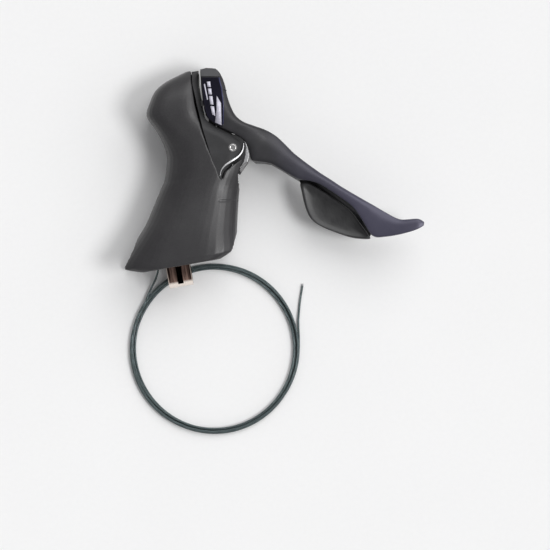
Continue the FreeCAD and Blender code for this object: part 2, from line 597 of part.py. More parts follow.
# ------------------------------------------------------------------ release paddle
def release_paddle():
    """The small inner lever: a stamped arm on the shift pin with a moulded paddle riveted to it."""
    arm = ((35.2, 82.4), (42.2, 82.4), (45.0, 78.4), (50.2, 73.0), (60.0, 66.6), (71.0, 56.6), (79.0, 46.6),
           (83.6, 38.0), (82.6, 33.4), (77.4, 35.8), (68.4, 43.7), (63.6, 47.7), (59.4, 49.2), (54.8, 50.0),
           (52.8, 52.2), (52.8, 58.0), (53.2, 66.0), (48.6, 71.2), (43.0, 75.2), (34.6, 75.2))
    plate = prism("arm_plate", arm, -8.4, -6.8)
    drop = prism("arm_drop", ((34.8, 75.6), (39.6, 75.0), (40.2, 79.8), (35.4, 80.2)), -8.4, -1.5)
    hub = cylinder("arm_hub", "hub_radius", 4.8, on_shift_axis(-8.4), SHIFT_AXIS)
    solid = fuse("arm_solid", plate, drop, hub)
    bore = cylinder("arm_bore", "shift_pin_diameter / 2 + running_gap", 30, on_shift_axis(-15), SHIFT_AXIS)
    rivets = [V(80.2, 38.6, -9.0), V(78.4, 42.0, -9.0)]
    bores = [cylinder(f"arm_rivet_bore_{i}", 0.85, 4, at) for i, at in enumerate(rivets)]
    keep("release_arm", cut("arm_cut", solid, bore, *bores))

    pad = ((83.6, 33.7), (77.6, 35.0), (77.9, 25.7), (78.4, 17.4), (81.5, 11.5), (84.1, 9.3), (92.3, 3.9),
           (100.6, -0.1), (112.0, -3.9), (111.8, -2.6), (108.0, 5.6), (103.6, 13.6), (95.0, 22.4),
           (87.2, 29.8))
    pad = prism("pad_form", pad, -6.75, 1.4)
    mount = prism("pad_mount", ((77.6, 35.0), (83.6, 33.7), (81.2, 40.8), (78.0, 43.8), (76.6, 40.0)),
                  -6.75, -5.2)
    holes = [cylinder(f"pad_rivet_bore_{i}", 0.85, 8, at) for i, at in enumerate(rivets)]
    keep("release_paddle", cut("pad_cut", fuse("pad_solid", pad, mount), *holes))

    pins = []
    for i, at in enumerate(rivets):
        stem = cylinder(f"rivet_stem_{i}", 0.8, 3.5, at + V(0, 0, 0.2))
        head = cylinder(f"rivet_head_{i}", 1.4, 0.6, at - V(0, 0, 0.02))
        pins.append(fuse(f"rivet_{i}", stem, head))
    group = doc.addObject("Part::Compound", "rivet_group")
    group.Links = pins
    keep("paddle_rivets", group)


# ------------------------------------------------------------------ winder unit
def winder_unit():
    """Ratchet winder in the bracket: pulls and releases the shift cable."""
    axle = cylinder("axle_bar", "unit_axle_diameter / 2", 26.4, on_unit_axis(70.6), Y_AXIS)
    tapped = cylinder("axle_tapped", 1.25, 4, on_unit_axis(94.0), Y_AXIS)
    keep("unit_axle", cut("unit_axle_cut", axle, tapped))
    hole = "unit_axle_diameter / 2 + 0.05"
    for name, y in (("unit_rear_plate", 73.0), ("unit_front_plate", 93.6)):
        keep(name, ring(name + "_disc", "unit_plate_radius", hole, 1.4, on_unit_axis(y), Y_AXIS))

    running = "unit_axle_diameter / 2 + running_gap"
    wall = cylinder("drum_wall", "drum_flange", 5.4, on_unit_axis(78.4), Y_AXIS)
    groove = ring("drum_groove_cut", 12, "drum_groove", 2.0, on_unit_axis(80.1), Y_AXIS)
    hollow = ring("drum_spring_room", 6.2, 3.4, 1.2, on_unit_axis(78.4), Y_AXIS)
    drum_bore = cylinder("drum_bore", running, 8, on_unit_axis(78), Y_AXIS)
    nipple_room = cylinder("nipple_room", 1.75, 4.3, nipple_point(79.0), Y_AXIS)
    keep("cable_drum", cut("drum_cut", wall, groove, hollow, drum_bore, nipple_room))
    keep("cable_nipple", cylinder("nipple_barrel", 1.7, 3.6, nipple_point(79.3), Y_AXIS))
    ratchet_wheel(running)
    keep("drum_spring", spring("drum_spring_coil", 4.4, 0.9, 1.2, 2.5, on_unit_axis(75.4), Y_AXIS))
    pawls()


def around_unit(angle, radius, y):
    """A point beside the winder's axis, at this angle from +X towards +Z."""
    turn = math.radians(angle)
    return on_unit_axis(y) + V(radius * math.cos(turn), 0, radius * math.sin(turn))


def nipple_point(y):
    """Where the cable's nipple sits in the drum."""
    return around_unit(42, 6.2, y)


def ratchet_wheel(running):
    """Saw-toothed wheel fixed to the drum: one tooth gap, repeated round the axis."""
    body = doc.addObject("PartDesign::Body", "ratchet_form")
    planes = {f.Role: f for f in body.Origin.OriginFeatures}
    disc = body.newObject("Sketcher::SketchObject", "ratchet_disc")
    disc.AttachmentSupport, disc.MapMode = (planes["XY_Plane"], [""]), "FlatFace"
    disc.addGeometry(Part.Circle(V(0, 0, 0), UP, size("ratchet_radius")))
    disc.addGeometry(Part.Circle(V(0, 0, 0), UP, size("unit_axle_diameter") / 2 + size("running_gap")))
    pad = body.newObject("PartDesign::Pad", "ratchet_pad")
    pad.Profile, pad.Length = disc, 2.8
    gap = body.newObject("Sketcher::SketchObject", "ratchet_gap")
    gap.AttachmentSupport, gap.MapMode = (planes["XY_Plane"], [""]), "FlatFace"
    corners = (V(4.5, 0, 0), V(6.4, 0, 0), V(5.4, 3.2, 0))
    gap.addGeometry([Part.LineSegment(a, b) for a, b in zip(corners, corners[1:] + corners[:1])])
    doc.recompute()
    pocket = body.newObject("PartDesign::Pocket", "ratchet_pocket")
    pocket.Profile, pocket.Type, pocket.Reversed = gap, "ThroughAll", True
    teeth = body.newObject("PartDesign::PolarPattern", "ratchet_teeth")
    teeth.Originals, teeth.Axis, teeth.Angle = [pocket], (planes["Z_Axis"], [""]), 360
    bind(teeth, Occurrences="ratchet_teeth")
    body.Tip = teeth
    body.Placement = FreeCAD.Placement(on_unit_axis(84.2), FreeCAD.Rotation(UP, Y_AXIS))
    doc.recompute()
    keep("ratchet_wheel", body)


HOLD_PIN_ANGLE, HOLD_PIN_RADIUS = -60, 7.4


def pawls():
    """The drive arm with its pull pawl, and the hold pawl on its pin."""
    hub = ring("drive_hub", 4.6, "unit_axle_diameter / 2 + running_gap", 3.4, on_unit_axis(88.3), Y_AXIS)
    beam = box("drive_beam", (20.4, 88.5, -3.8), (34.2, 91.5, -2.0))
    ear = box("drive_ear", (9.6, 88.5, -1.6), (13.6, 90.4, 1.6))
    keep("drive_arm", fuse("drive_solid", hub, beam, ear))

    stem = cylinder("pull_stem", 0.9, 3.6, around_unit(180, 6.9, 84.7), Y_AXIS)
    tooth = box("pull_tooth", (9.4, 84.7, -0.8), (11.3, 87.2, 2.4))
    keep("pull_pawl", fuse("pull_solid", stem, tooth))

    at = around_unit(HOLD_PIN_ANGLE, HOLD_PIN_RADIUS, 84.9)
    keep("hold_pawl_pin", cylinder("hold_pin", 0.9, 8.6, at, Y_AXIS))
    finger = box("hold_finger", (at.x - 4.2, 84.9, at.z - 0.8), (at.x - 0.5, 87.1, at.z + 0.35))
    solid = fuse("hold_solid", cylinder("hold_boss", 1.6, 2.2, at, Y_AXIS), finger)
    bore = cylinder("hold_bore", "0.9 + running_gap", 4, at - Y_AXIS, Y_AXIS)
    keep("hold_pawl", cut("hold_cut", solid, bore))


# ------------------------------------------------------------------ the cable's own pieces
def shift_cable():
    """The cable inside the bracket, its way to the coil, the coil and the free end."""
    keep("shift_cable_inside", tube_along("shift_cable_inside", CABLE_INSIDE, CABLE))
    keep("shift_cable_exit", tube_along("shift_cable_exit", CABLE_EXIT, CABLE))
    keep("shift_cable_tail", tube_along("shift_cable_tail", CABLE_TAIL, CABLE))

    coil = doc.addObject("Part::Torus", "coil_ring")
    bind(coil, Radius1="coil_radius", Radius2="coil_section")
    coil.Placement.Base = COIL_CENTRE
    keep("shift_cable_coil", coil)

    wrap = doc.addObject("Part::Torus", "cable_on_drum")
    wrap.Radius1, wrap.Angle3 = DRUM_CABLE_RADIUS, 108
    bind(wrap, Radius2="cable_diameter / 2")
    turn = FreeCAD.Rotation(Y_AXIS * -1, -90) * FreeCAD.Rotation(X_AXIS, 90)
    wrap.Placement = FreeCAD.Placement(on_unit_axis(DRUM_CABLE_Y), turn)
    keep("shift_cable_wrap", wrap)

    end, before = CABLE_TAIL[-1], CABLE_TAIL[-2]
    tip = doc.addObject("Part::Sphere", "fused_tip")
    tip.Radius = CABLE + 0.12
    tip.Placement.Base = end + (end - before).normalize() * (CABLE + 0.1)
    keep("shift_cable_tip", tip)


# ------------------------------------------------------------------ the whole lever
def check_document():
    """Stops if any object failed, or if a sub-part's shape is empty or not valid."""
    doc.recompute()
    for item in doc.Objects:
        if {"Invalid", "Error"} & set(item.State):
            raise RuntimeError(f"{item.Label} failed: {item.State}")
    for name, item in nodes.items():
        if item.Shape.isNull() or not item.Shape.isValid() or not item.Shape.Solids:
            raise RuntimeError(f"{name} has no valid solid")


def write_parts():
    """Writes each sub-part to its own STEP file."""
    os.makedirs("parts", exist_ok=True)
    for name, item in sorted(nodes.items()):
        item.Shape.exportStep(f"parts/{name}.step")
        print(f"{name}: {len(item.Shape.Solids)} solid(s), {item.Shape.Volume:.1f} mm3")


hood()
bracket()
horn_cap()
clamp()
casing_seats()
brake_pivot()
lever_base()
main_lever()
release_paddle()
winder_unit()
shift_cable()
check_document()
write_parts()
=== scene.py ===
"""Looks of a bicycle brake and shift lever with a coiled shift cable, lying on a pale table."""
import math

import bmesh
import bpy
from mathutils import Matrix, Vector


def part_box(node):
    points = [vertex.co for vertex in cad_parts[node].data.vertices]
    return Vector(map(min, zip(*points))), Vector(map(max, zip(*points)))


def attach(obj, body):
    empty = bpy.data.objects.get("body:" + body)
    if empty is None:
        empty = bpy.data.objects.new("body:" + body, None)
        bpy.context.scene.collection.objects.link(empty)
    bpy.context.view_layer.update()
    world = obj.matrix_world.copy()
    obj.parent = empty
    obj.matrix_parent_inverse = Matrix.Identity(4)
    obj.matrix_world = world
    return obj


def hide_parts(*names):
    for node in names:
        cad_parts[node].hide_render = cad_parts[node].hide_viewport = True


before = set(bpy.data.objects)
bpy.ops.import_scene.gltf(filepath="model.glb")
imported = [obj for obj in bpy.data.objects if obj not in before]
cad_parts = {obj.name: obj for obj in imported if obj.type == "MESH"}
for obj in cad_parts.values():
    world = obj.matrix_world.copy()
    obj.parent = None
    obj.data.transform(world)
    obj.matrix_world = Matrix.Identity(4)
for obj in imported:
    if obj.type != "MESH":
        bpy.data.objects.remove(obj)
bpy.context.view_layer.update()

MM = 0.001
TABLE = -17.5 * MM
VIEW_ROLL = math.radians(-10)
VIEW_CENTRE = Vector((54.4, -15.5)) * MM
SHIFT_PIN = Vector((37.2, 84.0, 0)) * MM
SHIFT_AXIS = Vector((0.13917, 0.99027, 0))


# ------------------------------------------------------------------ materials
def node(tree, kind, inputs=None, **settings):
    """A shader node with its settings, and its inputs set to values or linked to sockets."""
    made = tree.nodes.new(kind)
    for key, value in settings.items():
        setattr(made, key, value)
    for key, value in (inputs or {}).items():
        if isinstance(value, bpy.types.NodeSocket):
            tree.links.new(value, made.inputs[key])
        else:
            made.inputs[key].default_value = value
    return made


def position(tree, stretch=(1, 1, 1), turn=(0, 0, 0)):
    """The place in the frame, in millimetres, stretched along its axes."""
    here = node(tree, "ShaderNodeTexCoord").outputs["Object"]
    scale = [share / MM for share in stretch]
    mapping = node(tree, "ShaderNodeMapping", {"Vector": here, "Scale": scale, "Rotation": turn})
    return mapping.outputs["Vector"]


def noise_at(tree, place, scale, detail=3.0, roughness=0.55):
    """Smooth noise at a place, from 0 to 1."""
    values = {"Vector": place, "Scale": scale, "Detail": detail, "Roughness": roughness}
    return node(tree, "ShaderNodeTexNoise", values).outputs["Fac"]


def between(tree, value, low, high, to_low=0.0, to_high=1.0):
    """The value's range low to high, spread over to_low to to_high."""
    values = {"Value": value, "From Min": low, "From Max": high, "To Min": to_low, "To Max": to_high}
    return node(tree, "ShaderNodeMapRange", values).outputs["Result"]


def mixed(tree, factor, first, second):
    """A colour between two, each a socket or a plain colour."""
    made = node(tree, "ShaderNodeMix", data_type="RGBA")
    for key, value in ((0, factor), (6, first), (7, second)):
        if isinstance(value, bpy.types.NodeSocket):
            tree.links.new(value, made.inputs[key])
        else:
            made.inputs[key].default_value = value if key == 0 else (*value, 1)
    return made.outputs[2]


def new_material(name):
    """An empty material with its node tree and its shader."""
    made = bpy.data.materials.new(name)
    made.use_nodes = True
    return made, made.node_tree, made.node_tree.nodes["Principled BSDF"]


def surface(name, dark, light, rough, metal=0.0, patch=0.12, grain=2.0, relief=0.02, stretch=(1, 1, 1),
            turn=(0, 0, 0), specular=0.5):
    """A surface whose colour and roughness drift in patches under a fine grain in relief."""
    made, tree, shader = new_material(name)
    place = position(tree)
    fine = noise_at(tree, position(tree, stretch, turn), grain, 4.0, 0.6)
    broad = noise_at(tree, place, patch, 2.0)
    parts = {0: between(tree, broad, 0.3, 0.7), 1: between(tree, fine, 0.3, 0.7)}
    both = node(tree, "ShaderNodeMath", parts, operation="ADD").outputs[0]
    tree.links.new(mixed(tree, between(tree, both, 0.3, 1.7), dark, light), shader.inputs["Base Color"])
    tree.links.new(between(tree, fine, 0.3, 0.7, rough[0], rough[1]), shader.inputs["Roughness"])
    bump = node(tree, "ShaderNodeBump", {"Height": fine, "Strength": 1.0, "Distance": relief * MM})
    tree.links.new(bump.outputs["Normal"], shader.inputs["Normal"])
    shader.inputs["Metallic"].default_value = metal
    shader.inputs["Specular IOR Level"].default_value = specular
    return made


def blade_material():
    """Satin charcoal anodising; the colour grows lighter and bluish purple towards the blade's tip."""
    made = surface("blade_anodising", (0.018, 0.018, 0.02), (0.03, 0.029, 0.033), (0.32, 0.44),
                   metal=0.3, grain=3.0, relief=0.006)
    tree = made.node_tree
    shader = tree.nodes["Principled BSDF"]
    grey = shader.inputs["Base Color"].links[0].from_socket
    along = node(tree, "ShaderNodeSeparateXYZ", {"Vector": position(tree)}).outputs["X"]
    cast = mixed(tree, between(tree, along, 62.0, 108.0), (0, 0, 0), (0.034, 0.032, 0.06))
    total = node(tree, "ShaderNodeMix", {0: 1.0, 6: grey, 7: cast}, data_type="RGBA", blend_type="ADD")
    tree.links.new(total.outputs[2], shader.inputs["Base Color"])
    return made


def cable_material():
    """Twisted wire with a dark teal coating: painted highlights on the ridges and painted shade in the
    valleys run round the cable.
    """
    made, tree, shader = new_material("cable_strands")
    spot = node(tree, "ShaderNodeTexCoord").outputs["UV"]
    parts = node(tree, "ShaderNodeSeparateXYZ", {"Vector": spot})
    turns = node(tree, "ShaderNodeMath", {0: parts.outputs["X"], 1: CABLE_TWISTS}, operation="MULTIPLY")
    strands = node(tree, "ShaderNodeMath", {0: parts.outputs["Y"], 1: 7.0, 2: turns.outputs[0]},
                   operation="MULTIPLY_ADD")
    phase = node(tree, "ShaderNodeMath", {0: strands.outputs[0], 1: 2 * math.pi}, operation="MULTIPLY")
    wave = node(tree, "ShaderNodeMath", {0: phase.outputs[0]}, operation="SINE").outputs[0]
    ridge = between(tree, wave, -1.0, 1.0)
    # Painted light: the teal runs from painted shade in each valley to a painted highlight on each ridge.
    teal_with_painted_ridge_light = mixed(tree, ridge, (0.03, 0.042, 0.044), (0.15, 0.19, 0.195))
    tree.links.new(teal_with_painted_ridge_light, shader.inputs["Base Color"])
    bump = node(tree, "ShaderNodeBump", {"Height": ridge, "Strength": 1.0, "Distance": 0.12 * MM})
    tree.links.new(bump.outputs["Normal"], shader.inputs["Normal"])
    tree.links.new(between(tree, ridge, 0.0, 1.0, 0.46, 0.26), shader.inputs["Roughness"])
    shader.inputs["Metallic"].default_value = 0.6
    return made


def band_material():
    """Polished steel with painted reflections in brownish streaks and along a cream lower rim, painted
    highlights on the side rims, and painted shade on the inner face round the bar.
    """
    made, tree, shader = new_material("polished_band")
    place = node(tree, "ShaderNodeSeparateXYZ", {"Vector": position(tree)})
    # Painted reflections: dark and brownish streaks across the polished steel.
    reflection_streaks = noise_at(tree, position(tree, (0.75, 0.05, 0.05)), 1.0, 2.0)
    brown_reflection = mixed(tree, between(tree, reflection_streaks, 0.38, 0.62), (0.02, 0.01, 0.008), (0.26, 0.17, 0.14))
    offset = node(tree, "ShaderNodeMath", {0: place.outputs["X"]}, operation="ABSOLUTE").outputs[0]
    # Painted highlight along both side rims.
    rim_highlighted = mixed(tree, between(tree, offset, 6.45, 6.8), brown_reflection, (0.75, 0.64, 0.56))
    # Painted reflection in cream along the lower rim.
    lower_rim_reflection = between(tree, place.outputs["Y"], -9.4, -10.4)
    outside = mixed(tree, lower_rim_reflection, rim_highlighted, (0.86, 0.77, 0.7))
    plane = {"Y": place.outputs["Y"], "Z": place.outputs["Z"]}
    across = node(tree, "ShaderNodeCombineXYZ", plane).outputs[0]
    reach = node(tree, "ShaderNodeVectorMath", {0: across}, operation="LENGTH").outputs["Value"]
    # Painted shade on the inner face round the bar.
    bore_shade = between(tree, reach, 12.25, 12.1)
    tree.links.new(mixed(tree, bore_shade, outside, (0.03, 0.018, 0.014)), shader.inputs["Base Color"])
    shader.inputs["Metallic"].default_value = 1.0
    scratch = noise_at(tree, position(tree, (6, 0.4, 0.4)), 1.0, 4.0)
    tree.links.new(between(tree, scratch, 0.3, 0.7, 0.16, 0.3), shader.inputs["Roughness"])
    return made


CABLE_LENGTH = 2.05
STRAND_TWIST = 0.007
CABLE_TWISTS = CABLE_LENGTH / STRAND_TWIST


def materials():
    """Every finish by the name that the pieces use."""
    return {
        "rubber": surface("hood_rubber", (0.021, 0.02, 0.022), (0.033, 0.032, 0.034), (0.33, 0.41),
                          patch=0.05, grain=1.6, relief=0.03),
        "resin": surface("bracket_resin", (0.018, 0.018, 0.019), (0.036, 0.036, 0.038), (0.5, 0.66),
                         patch=0.08, grain=2.6, relief=0.05, specular=0.35),
        "blade": blade_material(),
        "gloss": surface("name_plate_gloss", (0.003, 0.003, 0.007), (0.007, 0.006, 0.016), (0.06, 0.1),
                         patch=0.1, grain=1.0, relief=0.002, specular=0.4),
        "cap": surface("cap_plastic", (0.06, 0.06, 0.064), (0.09, 0.09, 0.095), (0.3, 0.42), grain=3.0,
                       relief=0.006),
        "rim": surface("plate_rim", (0.03, 0.033, 0.085), (0.055, 0.06, 0.15), (0.16, 0.24), patch=0.3,
                       grain=1.0, relief=0.002),
        # Dark alloy for the shift lever's inner parts, and painted shade on the lever base.
        "dark": surface("dark_alloy", (0.012, 0.012, 0.013), (0.026, 0.026, 0.028), (0.4, 0.55), metal=0.2,
                        grain=2.4, relief=0.02),
        # Light lavender: a painted reflection on the glossy plate, and the print of the plate's bars.
        "print_and_reflection": surface("plate_print_and_reflection", (0.52, 0.5, 0.6), (0.7, 0.69, 0.78), (0.2, 0.3), patch=0.4,
                          grain=1.5, relief=0.002),
        "pad": surface("paddle_plastic", (0.017, 0.017, 0.018), (0.032, 0.032, 0.033), (0.3, 0.42),
                       grain=1.2, relief=0.012, stretch=(1, 0.25, 1), turn=(0, 0, 0.6)),
        "alloy": surface("brushed_alloy", (0.42, 0.42, 0.43), (0.7, 0.7, 0.71), (0.28, 0.42), metal=1.0,
                         grain=2.2, relief=0.008, stretch=(0.25, 2.2, 1), turn=(0, 0, 0.5)),
        "bright": surface("bright_steel", (0.7, 0.69, 0.68), (0.88, 0.87, 0.86), (0.14, 0.24), metal=1.0,
                          grain=1.4, relief=0.004),
        "steel": surface("machined_steel", (0.3, 0.3, 0.31), (0.5, 0.5, 0.51), (0.3, 0.46), metal=1.0,
                         grain=2.4, relief=0.01, stretch=(0.4, 2, 1)),
        "brass": surface("turned_brass", (0.5, 0.36, 0.16), (0.68, 0.52, 0.26), (0.26, 0.38), metal=1.0,
                         grain=2.0, relief=0.008),
        "band": band_material(),
        "cable": cable_material(),
        "table": surface("pale_table", (0.86, 0.86, 0.86), (0.88, 0.88, 0.88), (0.85, 0.95), patch=0.01,
                         grain=0.4, relief=0.004, specular=0.1),
    }


NODES_BY_FINISH = {
    "resin": ("bracket",),
    "cap": ("horn_cap", "plate_cap"),
    "band": ("clamp_band",),
    # The lever base takes the dark finish as painted shade under the cheek; the link crescent is its silver
    # part that shows.
    "dark": ("lever_base",),
    "alloy": ("brake_casing_seat", "shift_casing_seat", "cable_drum", "cable_nipple", "shift_cable_tip"),
    "bright": ("pivot_axle", "hold_pawl_pin", "shift_pin", "paddle_rivets"),
    "brass": ("axle_bushes", "brake_cable_hook"),
    "cable": ("shift_cable_inside", "shift_cable_wrap"),
    "steel": ("horn_cap_screw", "clamp_bolt", "clamp_nut", "axle_circlip", "unit_axle", "unit_front_plate",
              "unit_rear_plate", "drum_spring", "reach_screw", "brake_return_spring", "plate_screw",
              "lever_return_spring", "release_arm", "drive_arm", "pull_pawl", "ratchet_wheel", "hold_pawl"),
}


def finish_nodes(looks):
    """Gives the CAD nodes that stay their finishes."""
    for look, names in NODES_BY_FINISH.items():
        for name in names:
            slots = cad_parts[name].data.materials
            for place in range(len(slots)):
                slots[place] = looks[look]


# ------------------------------------------------------------------ building pieces
def piece(name, mesh, look, body, replaced=(), subdivide=0, bevel=None):
    """An object of a mesh on a body, with its finish; the CAD parts that it replaces are hidden."""
    made = bpy.data.objects.new(name, mesh)
    bpy.context.scene.collection.objects.link(made)
    mesh.materials.append(look)
    for face in mesh.polygons:
        face.use_smooth = True
    if bevel:
        edges = made.modifiers.new("edges", "BEVEL")
        edges.width, edges.segments, edges.limit_method = bevel, 3, "ANGLE"
        edges.harden_normals = True
    if subdivide:
        finer = made.modifiers.new("finer", "SUBSURF")
        finer.levels = finer.render_levels = subdivide
    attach(made, body)
    if replaced:
        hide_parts(*replaced)
    return made


def mesh_from(name, form):
    """The mesh of a finished bmesh."""
    bmesh.ops.recalc_face_normals(form, faces=form.faces)
    mesh = bpy.data.meshes.new(name)
    form.to_mesh(mesh)
    form.free()
    return mesh


def between_points(before, start, end, after, share):
    """One number of a Catmull-Rom curve, this share of the way from start to end."""
    slope = end - before
    bend = 2 * before - 5 * start + 4 * end - after
    twist = 3 * start - before - 3 * end + after
    return 0.5 * (2 * start + slope * share + bend * share * share + twist * share ** 3)


def curve_through(points, steps):
    """A smooth curve through the given points, this many to each span; a point may be any tuple."""
    ends = [points[0], *points, points[-1]]
    made = []
    for near in zip(ends, ends[1:], ends[2:], ends[3:]):
        for step in range(steps):
            made.append(tuple(between_points(*numbers, step / steps) for numbers in zip(*near)))
    return made + [tuple(points[-1])]


def loft(name, rings):
    """A closed skin over rings of equal length, with a face at each end."""
    form = bmesh.new()
    rows = [[form.verts.new(point) for point in ring] for ring in rings]
    for row, following in zip(rows, rows[1:]):
        for i in range(len(row)):
            j = (i + 1) % len(row)
            form.faces.new((row[i], row[j], following[j], following[i]))
    form.faces.new(rows[0])
    form.faces.new(rows[-1])
    return mesh_from(name, form)


def slab(name, outline, low, high):
    """A plate of an outline in millimetres between two heights."""
    rings = [[Vector((x, y, z)) * MM for x, y in outline] for z in (low, high)]
    return loft(name, rings)


def solid_object(name, mesh):
    """A bare object of a mesh."""
    made = bpy.data.objects.new(name, mesh)
    bpy.context.scene.collection.objects.link(made)
    return made


def carved(solid, cutters, voxel, smooth):
    """The solid less its cutters, remeshed into small even faces and smoothed; the cutters go."""
    for cutter in cutters:
        less = solid.modifiers.new(cutter.name, "BOOLEAN")
        less.operation, less.object, less.solver = "DIFFERENCE", cutter, "EXACT"
    even = solid.modifiers.new("even", "REMESH")
    even.mode, even.voxel_size = "VOXEL", voxel
    soft = solid.modifiers.new("soft", "SMOOTH")
    soft.factor, soft.iterations = 0.5, smooth
    graph = bpy.context.evaluated_depsgraph_get()
    mesh = bpy.data.meshes.new_from_object(solid.evaluated_get(graph))
    for used in (solid, *cutters):
        bpy.data.objects.remove(used)
    return mesh


# ------------------------------------------------------------------ shift cable
CABLE = 1.2 * MM
CABLE_START = (-0.01008, 0.01799, -0.008)
CABLE_EXIT = (
    CABLE_START,
    (-0.0106, 0.012, -0.0083),
    (-0.0110, 0.006, -0.0120),
    (-0.0116, 0.000, -0.0137),
    (-0.0142, -0.0056, -0.0148),
    (-0.0182, -0.0108, -0.0155),
)
CABLE_TAIL = (
    (0.0629, -0.0446, -0.0162),
    (0.0647, -0.0380, -0.0166),
    (0.0666, -0.0312, -0.0167),
    (0.0690, -0.0246, -0.01675),
)
COIL_CENTRE = Vector((12.3, -51.6, -15.75)) * MM
COIL_RADIUS = 48.1 * MM
COIL_START, COIL_END = math.radians(137), math.radians(355)
COIL_TURNS = 6
POINTS_PER_TURN = 24
BUNDLE = 1.22
TURNS_TO_WIND_ROUND = 6.7
STRAY_TURN, STRAY_AT, STRAY_SPAN, STRAY_OUT = 3, 272, 17, 2.4


def coil_points():
    """Turns that wander round each other in one bundle, with one that strays at the far side."""
    sweep = COIL_END - COIL_START + COIL_TURNS * 2 * math.pi
    count = round(sweep / (2 * math.pi) * POINTS_PER_TURN)
    points = []
    for i in range(count + 1):
        angle = COIL_START + sweep * i / count
        turn = (angle - COIL_START) / (2 * math.pi)
        lie = 0.9 + 2 * math.pi * turn / TURNS_TO_WIND_ROUND + 0.5 * math.sin(angle * 0.5 + 1.3)
        out = BUNDLE * math.cos(lie) + 0.25 * math.sin(2 * angle + turn * 2.1)
        rise = math.sin(lie)
        if STRAY_TURN <= turn < STRAY_TURN + 1:
            out += STRAY_OUT * math.exp(-((math.degrees(angle) % 360 - STRAY_AT) / STRAY_SPAN) ** 2)
        radius = COIL_RADIUS + out * MM
        beside = Vector((radius * math.cos(angle), radius * math.sin(angle), rise * MM))
        points.append(COIL_CENTRE + beside)
    return points


def cable(look):
    """The free part of the shift cable: exit strand, coil and tail on one smooth line."""
    points = [Vector(p) for p in CABLE_EXIT] + coil_points() + [Vector(p) for p in CABLE_TAIL]
    curve = bpy.data.curves.new("shift_cable", "CURVE")
    curve.dimensions = "3D"
    curve.bevel_depth, curve.bevel_resolution, curve.use_fill_caps = CABLE / 2, 4, True
    curve.resolution_u = 6
    line = curve.splines.new("NURBS")
    line.points.add(len(points) - 1)
    for spot, place in zip(line.points, points):
        spot.co = (*place, 1)
    line.order_u = 3
    line.use_endpoint_u = True
    made = bpy.data.objects.new("shift_cable", curve)
    bpy.context.scene.collection.objects.link(made)
    curve.materials.append(look)
    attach(made, "housing")
    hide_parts("shift_cable_exit", "shift_cable_coil", "shift_cable_tail")


# ------------------------------------------------------------------ hood
# One row for each cross-section: y, left x, right x, half width, roundness.
HOOD_SECTIONS = (
    (-0.8, -23.0, 26.5, 16.9, 4.6), (1.6, -30.6, 32.4, 17.2, 4.6), (4, -33.0, 35.0, 17.5, 4.2),
    (14, -25.2, 37.3, 17.5, 3.1), (26, -14.5, 40.0, 16.3, 2.75), (38, -6.6, 43.2, 15.2, 2.7),
    (46, -1.4, 47.4, 15.2, 2.75), (50, 1.0, 49.2, 15.2, 2.8), (62, 4.5, 52.4, 15.8, 3.0),
    (72, 3.3, 40.4, 16.4, 3.5), (80, 0.5, 31.5, 16.9, 3.8), (88, -2.9, 29.5, 17.2, 4.0),
    (96, 0.6, 30.0, 16.2, 4.0), (102, 5.2, 30.8, 13.6, 3.6), (106, 12.5, 31.5, 10.5, 3.2),
    (109.4, 24.0, 31.6, 6.0, 2.6),
)
HOOD_WALL = 2.6
RING_POINTS = 48
SEAM = ((27.0, 109.5), (26.1, 104.8), (26.0, 98.1), (25.7, 91.0), (26.1, 83.2), (27.0, 75.4), (28.2, 67.1),
        (29.9, 58.7), (31.7, 51.1), (32.9, 45.2))
HOOD_LIP = ((34.0, 44.4), (36.1, 48.1), (40.7, 50.9), (46.4, 53.6))
FORK_HALF = 10.4
MOUTH = ((36.5, 0.4), (38.5, 4.6), (41.5, 8.0), (46.0, FORK_HALF), (72.0, FORK_HALF))
BAR_ROOM = 12.6
ARCH = ((-10, BAR_ROOM), (3, BAR_ROOM), (9, 11.8), (14, 9.6), (17.5, 6.2), (19.6, 2.2))
BAR_ARC = [(-BAR_ROOM * math.cos(turn), BAR_ROOM * math.sin(turn))
           for turn in (math.radians(15 * i + 7.5) for i in range(12))]


def rounded_ring(y, left, right, half, roundness):
    """A swollen rectangle across Y: the higher its roundness, the squarer its corners."""
    middle, reach = (left + right) / 2, (right - left) / 2
    ring = []
    for i in range(RING_POINTS):
        angle = 2 * math.pi * (i + 0.5) / RING_POINTS
        across, lift = math.cos(angle), math.sin(angle)
        swell = (abs(across) ** roundness + abs(lift) ** roundness) ** (-1 / roundness)
        ring.append(Vector((middle + reach * across * swell, y, half * lift * swell)) * MM)
    return ring


def hood_skin(name, inset, rear=None):
    """The hood's outer form, or its inside when inset."""
    rings = []
    for y, left, right, half, roundness in curve_through(HOOD_SECTIONS, 4):
        towards_horn = min(max((y - 88) / 21, 0), 1)
        row = (left + inset, right - inset, half - inset, roundness)
        if rear is not None and not rings:
            rings.append(rounded_ring(rear, *row))
        rings.append(rounded_ring(y - inset * towards_horn, *row))
    return loft(name, rings)


def tunnel(name, half_outline, start, end):
    """A cutter along X whose outline has the same half width on both sides."""
    rim = list(half_outline) + [(y, -z) for y, z in reversed(half_outline)]
    rings = [[Vector((x, y, z)) * MM for y, z in rim] for x in (start, end)]
    return solid_object(name, loft(name, rings))


